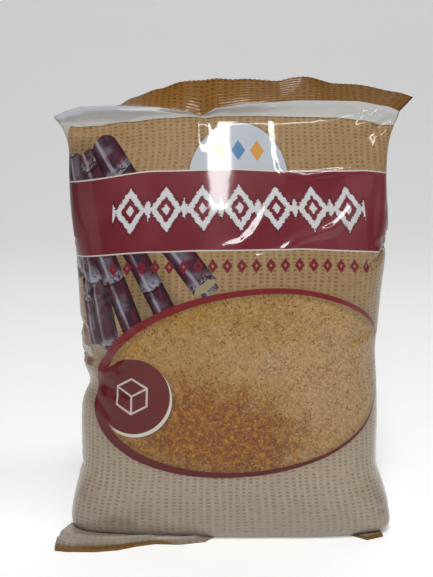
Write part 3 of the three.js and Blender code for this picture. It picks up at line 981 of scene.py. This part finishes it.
# %% Band, dome and lozenges
WINE, OFF_WHITE, ORANGE, BLUE = ink(104, 46, 52), ink(178, 172, 166), ink(178, 128, 62), ink(74, 112, 148)
BAND_TOP, BAND_FOOT, HAIRLINE = 33.0, 68.6, 0.65
FRONT_MIDDLE = 4.5  # the print's own middle is a little right of the film's
DOME_FOOT, DOME_RADIUS = 34.5, 23.0
DOME_LOZENGE, DOME_LOZENGE_V, DOME_PITCH = (3.4, 4.6), 24.0, 9.0
LOZENGE_PITCH, CHAIN_V, CHAIN_HALF, LINE_WIDE = 16.6, 50.0, 3.5, 1.5  # the chain is seven lozenges long
BIG, SMALL, HEART = (7.4, 10.2), (2.0, 4.4), (1.9, 2.6)  # half width and half height of a lozenge
BEAD, BEAD_V, BEAD_PITCH, BEADS_HALF, BEAD_LINE = (2.3, 3.3), 75.9, 6.4, 9.5, 0.85

from_middle = u - FRONT_MIDDLE
dome_edge = circle(from_middle, v - DOME_FOOT, DOME_RADIUS)
darken(0.38, inside(dome_edge - 0.5, 0.6))
lay(ink(162, 167, 173), inside(dome_edge))
for side, colour in ((-1, ORANGE), (0, BLUE), (1, ORANGE)):
    lay(colour, inside(lozenge(from_middle - DOME_PITCH * side, v - DOME_LOZENGE_V, *DOME_LOZENGE)))

from_band = abs(v - (BAND_TOP + BAND_FOOT) / 2) - (BAND_FOOT - BAND_TOP) / 2
lay(OFF_WHITE, inside(from_band - HAIRLINE))
band_tone = paint(WINE, ink(118, 62, 68), ease(noise(u, v, 30.0, 1.0), 0.4, 0.7) * 0.5)
lay(scaled(band_tone, ease(abs(u + FILM_WIDE / 2), 4.0, 48.0, 0.78, 1.0)), inside(from_band))

rough = (noise(u, v, 1.5, 3.0, 0.65) - 0.5) * 1.5
chain_v = v - CHAIN_V
in_chain = inside(abs(from_middle) - CHAIN_HALF * LOZENGE_PITCH)
big = lozenge(repeat(from_middle, LOZENGE_PITCH), chain_v, *BIG) + rough
small = lozenge(repeat(from_middle + LOZENGE_PITCH / 2, LOZENGE_PITCH), chain_v, *SMALL) + rough
chain = either(both(inside(big), 1.0 - inside(big + LINE_WIDE)), inside(small))
heart = inside(lozenge(repeat(from_middle, LOZENGE_PITCH), chain_v, *HEART) + rough * 0.6)
shadow = either(inside(big - 0.5, 0.5) - inside(big + LINE_WIDE + 0.4, 0.5), inside(small - 0.5, 0.5))
darken(0.35, in_chain * shadow)
lay(ink(183, 181, 182), either(chain, heart) * in_chain)

# %% Row of small lozenges under the band
bead = lozenge(repeat(from_middle, BEAD_PITCH), v - BEAD_V, *BEAD)
in_row = inside(abs(from_middle) - BEADS_HALF * BEAD_PITCH)
lay(ink(106, 46, 54), both(inside(bead), 1.0 - inside(bead + BEAD_LINE)) * in_row)

# %% [markdown]
# ## The oval of sugar
# The middle of the front shows the sugar itself, in an oval with a wine-red border: thousands of pale
# crystals, with a drift of caramel ones at the lower left. Voronoi cells are a good match for crystals,
# because each cell takes its own random brightness. Two sizes of cell are laid over each other, so the
# grain looks irregular.

# %% Oval border
OVAL_MIDDLE, OVAL_HALF, OVAL_SLANT = (7.0, 129.5), (72.0, 43.5), 0.24
SUGAR_MIDDLE, SUGAR_HALF = (9.2, 129.5), (68.6, 40.9)
SHADE_MIDDLE, SHADE_HALF = (9.0, 129.5), (69.0, 40.8)


def oval(middle, half):
    """Distance to a slanted oval, measured up and down."""
    x = (u + (v - OVAL_MIDDLE[1]) * OVAL_SLANT - middle[0]) / half[0]
    y = (v - middle[1]) / half[1]
    return (length(x, y) - 1.0) * half[1]


oval_edge = oval(OVAL_MIDDLE, OVAL_HALF)
darken(0.12, inside(oval_edge - 1.4, 1.4))
lay(paint(ink(110, 47, 50), ink(86, 26, 30), ease(v, 100.0, 165.0)), inside(oval_edge))

# %% Sugar in the oval
GRAIN, FINE_GRAIN = 1.15, 0.62
DRIFT_MIDDLE, DRIFT_HALF, DRIFT_SLANT = (-9.0, 152.0), (52.0, 27.0), 0.12

cell_near, cell_tint, cell_kind = grains(u, v, GRAIN)
_, fine_tint, fine_kind = grains(u + 31.0, v, FINE_GRAIN)
drift_x = (u - DRIFT_MIDDLE[0]) / DRIFT_HALF[0]
drift_y = (v - DRIFT_MIDDLE[1] - u * DRIFT_SLANT) / DRIFT_HALF[1]
drift = ease(length(drift_x, drift_y) + (noise(u, v, 8.0, 3.0) - 0.5) * 0.9, 1.15, 0.45)
paler = ease(u + (noise(u + 9.0, v, 16.0, 3.0) - 0.5) * 90.0, -45.0, 60.0)
browner = ease(cell_tint * 0.5 + noise(u, v + 70.0, 2.6) * 0.9, 0.45, 0.85)
sugar = paint(paint(ink(142, 109, 64), ink(149, 121, 85), paler),
              paint(ink(140, 95, 38), ink(98, 59, 16), browner), drift * 0.92)
glint = cell_tint * 0.3 + fine_tint * 0.34 - cell_near * 0.34
sugar = scaled(sugar, 0.87 + glint * (1.0 + drift * 0.8))
speck = ease(fine_kind, 0.2, 0.08) * ease(noise(u + 5.0, v, 6.0) + drift * 0.3, 0.35, 0.6)
sugar = paint(sugar, ink(94, 58, 28), speck * 0.75)
sugar = paint(sugar, ink(176, 154, 120), ease(cell_kind, 0.93, 0.99) * (0.35 - drift * 0.15))
sugar = scaled(sugar, 1.0 - 0.28 * ease(oval(SHADE_MIDDLE, SHADE_HALF), -3.5, 0.0))
lay(sugar, inside(oval(SUGAR_MIDDLE, SUGAR_HALF)))

# %% [markdown]
# ## The disc on the oval
# A wine-red disc overlaps the left end of the oval, with an off-white crescent under its lower right edge.
# It holds a line drawing of a sugar cube: a hexagon with three spokes.

# %% Disc with a cube
DISC_MIDDLE, DISC_RADIUS = (-44.3, 135.6), 17.8
CUBE_RADIUS, CUBE_LINE = 8.2, 0.45


def disc(shift_u, shift_v, radius):
    return circle(u - DISC_MIDDLE[0] - shift_u, v - DISC_MIDDLE[1] - shift_v, radius)


def cube_lines():
    """Distance to the nearest of a cube's lines: a hexagon's six sides and a spoke to every other corner."""
    corner = [(DISC_MIDDLE[0] + CUBE_RADIUS * math.sin(a), DISC_MIDDLE[1] - CUBE_RADIUS * math.cos(a))
              for a in (math.radians(60 * k) for k in range(6))]
    lines = [(corner[k], corner[(k + 1) % 6]) for k in range(6)]
    lines += [(DISC_MIDDLE, corner[k]) for k in (1, 3, 5)]
    nearest = rod(*lines[0], CUBE_LINE)[0]
    for start, stop in lines[1:]:
        nearest = both(nearest, rod(start, stop, CUBE_LINE)[0])
    return nearest


darken(0.4, inside(disc(2.0, 1.6, DISC_RADIUS), 1.8) * ease(u, -60.0, -40.0))
lay(ink(186, 178, 168), inside(disc(0.7, 1.2, DISC_RADIUS)) * ease(u, -56.0, -50.0))
lay(ink(90, 8, 14), inside(disc(0.0, 0.0, DISC_RADIUS - 0.3)))
lay(ink(176, 166, 160), inside(cube_lines()))

# %% Register marks on the left fold
MARK_U, MARK_HALF_WIDE = -72.4, 3.2
DARK_MARK, LIGHT_MARK = ink(96, 38, 42), ink(172, 170, 172)
for mark_v, half_tall, colour in ((106.5, 7.5, DARK_MARK), (116.6, 2.6, LIGHT_MARK), (121.8, 2.6, DARK_MARK)):
    lay(colour, inside(box_shape(u - MARK_U, v - mark_v, MARK_HALF_WIDE, half_tall)))

# %% [markdown]
# ## The back of the print
# The photo doesn't show the back. It is finished like the front: the same jute and band, and on each side
# of the lap seam a plain pale panel with a thin wine-red frame.

# %% Panels on the back
PANEL_HALF, PANEL_FROM_SEAM, PANEL_MIDDLE_V, PANEL_CORNER, PANEL_FRAME = (29.0, 46.0), 41.0, 130.0, 4.0, 0.8
weave_through = paint(ink(170, 158, 138), ink(160, 146, 124), gap)
for panel_u in (FILM_WIDE - PANEL_FROM_SEAM, FILM_WIDE + PANEL_FROM_SEAM):
    panel = box_shape(u - panel_u, v - PANEL_MIDDLE_V, *PANEL_HALF, PANEL_CORNER)
    lay(ink(110, 46, 46), inside(panel))
    lay(weave_through, inside(panel + PANEL_FRAME))

# %% [markdown]
# ## The unprinted strip and the fin
# Between the print and the crimped fin the film is left unprinted for the seal, and looks milk-white; the
# grey band across it is painted shade and its lighter right part is painted light. The fin above it is the
# foot of the next pouch's print, a darker brown. A dark hairline ends the print.

# %% Unprinted strip
STRIP_TALL, CORNER_TALL, CORNER_STEEP = 8.0, 20.0, 2.1
# painted shade: the grey band across the middle of the strip, where the inside of the pouch shows through
milky_with_painted_shading = tone([(0, ink(168, 172, 178)), (2, ink(160, 162, 166)), (3.4, ink(142, 139, 136)),
              (5.4, ink(146, 143, 139)), (7, ink(164, 163, 160)), (8, ink(166, 162, 154))],
             v + (noise(u * 0.4, v, 9.0) - 0.5) * 4.5)
# painted light: the right part of the strip is lighter
milky_with_painted_shading = paint(milky_with_painted_shading, ink(177, 176, 172), ease(u, 5.0, 40.0) * ease(u, 90.0, 80.0) * 0.7)
from_fold = both(abs(u + FILM_WIDE / 2), abs(u - 1.5 * FILM_WIDE))
# clear film beside the print at the left fold
corner = both(inside(from_fold * CORNER_STEEP + v - CORNER_TALL), inside(v - CORNER_TALL))
darken(0.45, ease(v, 8.7, 8.1) * ease(v, 7.0, 7.8))
lay(milky_with_painted_shading, both(inside(0.0 - v), either(inside(v - STRIP_TALL), corner)))

# %% [markdown]
# ## Gloss
# The film is a glossy laminate: a smooth clear layer over the ink. Principled has a coat for that, which
# gives crisp reflections on every crease, while the ink under it stays softer. A faint bump stands for the
# sugar that presses against the film from inside.

# %% Film surface
COAT, LOST_IN_FINS = 0.8, 0.6  # the ribs of the seals break up what they reflect
LUMP_SIZE, LUMPS_FROM, LUMPS_FULL = 9.0, 60.0, 95.0  # millimetres; film distances between which they grow
LUMPS_ABOVE = 0.12  # share of them left above the filling

in_fins = either(inside(v), inside(CRIMP_FROM - v))
lumps = noise(u, v, LUMP_SIZE, 2.0, 0.45) * ease(v, LUMPS_FROM, LUMPS_FULL, LUMPS_ABOVE, 1.0)
bump = node("ShaderNodeBump", {"Strength": 0.18, "Distance": 0.0016, "Height": lumps})
surface = node("ShaderNodeBsdfPrincipled", {
    "Base Color": film_colour, "Roughness": 0.42, "Specular IOR Level": 0.1, "Normal": bump,
    "Coat Weight": COAT - in_fins * LOST_IN_FINS, "Coat Roughness": 0.06, "Coat IOR": 1.4,
    "Coat Normal": bump,
})
feed(tree.nodes.new("ShaderNodeOutputMaterial"), {"Surface": surface})
print("print and film:", len(tree.nodes), "nodes")

# %% [markdown]
# ## Handing the pieces to the solid model
# The film, the bottom fin and the lap seam all stand for the one solid, so together they replace it, and
# they ride on its only body.

# %% Ride and replace
for piece in (pouch_film, base_fin, lap_seam):
    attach(piece, "root")
    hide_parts("pouch")
    print(piece.name, "rides on root:", len(piece.data.polygons), "faces")

# %% [markdown]
# ## Floor, camera and light
# A photographer's sweep is one sheet that runs flat under the object and curves up behind it, so there is
# no horizon line. The camera stands as far off as the perspective of the photo asks, and looks down a
# little. The window is a tall softbox in front, which only creases that tilt towards it reflect; that gives
# the bright streaks. The transom is a long one high on the right, which marks the folds that tilt upwards.

# %% Sweep
SWEEP_HALF_WIDTH, SWEEP_FRONT, SWEEP_BACK, SWEEP_RADIUS, SWEEP_TALL = 3.0, -3.0, 1.2, 0.8, 4.0  # metres
SWEEP_STEPS = 16
profile = [(SWEEP_FRONT, 0.0), (SWEEP_BACK, 0.0)]
for step in range(1, SWEEP_STEPS + 1):
    turn = math.pi / 2 * step / SWEEP_STEPS
    profile.append((SWEEP_BACK + SWEEP_RADIUS * math.sin(turn), SWEEP_RADIUS * (1 - math.cos(turn))))
profile.append((SWEEP_BACK + SWEEP_RADIUS, SWEEP_TALL))
sweep_points = [(x, y, z) for y, z in profile for x in (-SWEEP_HALF_WIDTH, SWEEP_HALF_WIDTH)]
sweep_faces = [(2 * k, 2 * k + 1, 2 * k + 3, 2 * k + 2) for k in range(len(profile) - 1)]
sweep_mesh = bpy.data.meshes.new("sweep")
sweep_mesh.from_pydata(sweep_points, [], sweep_faces)
sweep_mesh.shade_smooth()
sweep = add_object("sweep", sweep_mesh)
paper = bpy.data.materials.new("Paper sweep")
paper.use_nodes = True
feed(paper.node_tree.nodes["Principled BSDF"], {
    "Base Color": (0.82, 0.82, 0.81, 1.0), "Roughness": 0.9,
    "Emission Color": (1.0, 1.0, 1.0, 1.0), "Emission Strength": 0.22,  # a backdrop with its own light
})
sweep_mesh.materials.append(paper)

# %% Camera
PHOTO_TALL_PX = 577
MM_PER_PX = 0.465  # at the middle of the pouch
CAMERA_AWAY, CAMERA_UP_DEG = 620.0, 8.0
AIM = np.array([-8.1, 0.0, 113.0])
camera_data = bpy.data.cameras.new("camera")
camera = add_object("camera", camera_data)
camera_data.sensor_width = 36.0
camera_data.lens = camera_data.sensor_width * CAMERA_AWAY / (MM_PER_PX * PHOTO_TALL_PX)
tilt = math.radians(CAMERA_UP_DEG)
away = np.array([0.0, -math.cos(tilt), math.sin(tilt)]) * CAMERA_AWAY
camera.location = Vector((AIM + PLACE + away) * MM)
camera.rotation_euler = (math.pi / 2 - tilt, 0.0, 0.0)
bpy.context.scene.camera = camera
print("lens", round(camera_data.lens, 1), "mm")

# %% Lights
# name: place in metres, width, height, watts
SOFTBOXES = {
    "window": ((-0.036, -0.96, 1.10), 0.12, 1.1, 14.0),
    "transom": ((0.457, -0.897, 1.72), 1.3, 0.12, 10.5),
    "fill_left": ((-1.4, -0.5, 0.6), 0.8, 1.0, 1.3),
    "fill_right": ((1.3, -0.9, 0.7), 0.8, 1.0, 1.2),
    "back_top": ((0.2, 0.9, 1.1), 0.8, 0.6, 2.2),
}
MIDDLE = Vector((0.0, 0.0, 0.11))
for name, (place, width, tall, power) in SOFTBOXES.items():
    light = bpy.data.lights.new(name, "AREA")
    light.shape, light.size, light.size_y, light.energy = "RECTANGLE", width, tall, power
    lamp = add_object(name, light)
    lamp.location = place
    lamp.rotation_euler = (MIDDLE - Vector(place)).to_track_quat("-Z", "Y").to_euler()
world = bpy.data.worlds.new("world")
world.use_nodes = True
feed(world.node_tree.nodes["Background"], {"Color": (0.93, 0.96, 1.0, 1.0), "Strength": 0.11})
bpy.context.scene.world = world
bpy.context.scene.view_settings.view_transform = "Standard"

# %% Print the bounds of the solid, and finish
print("solid", [[round(c / MM, 1) for c in corner] for corner in CAD_BOX])
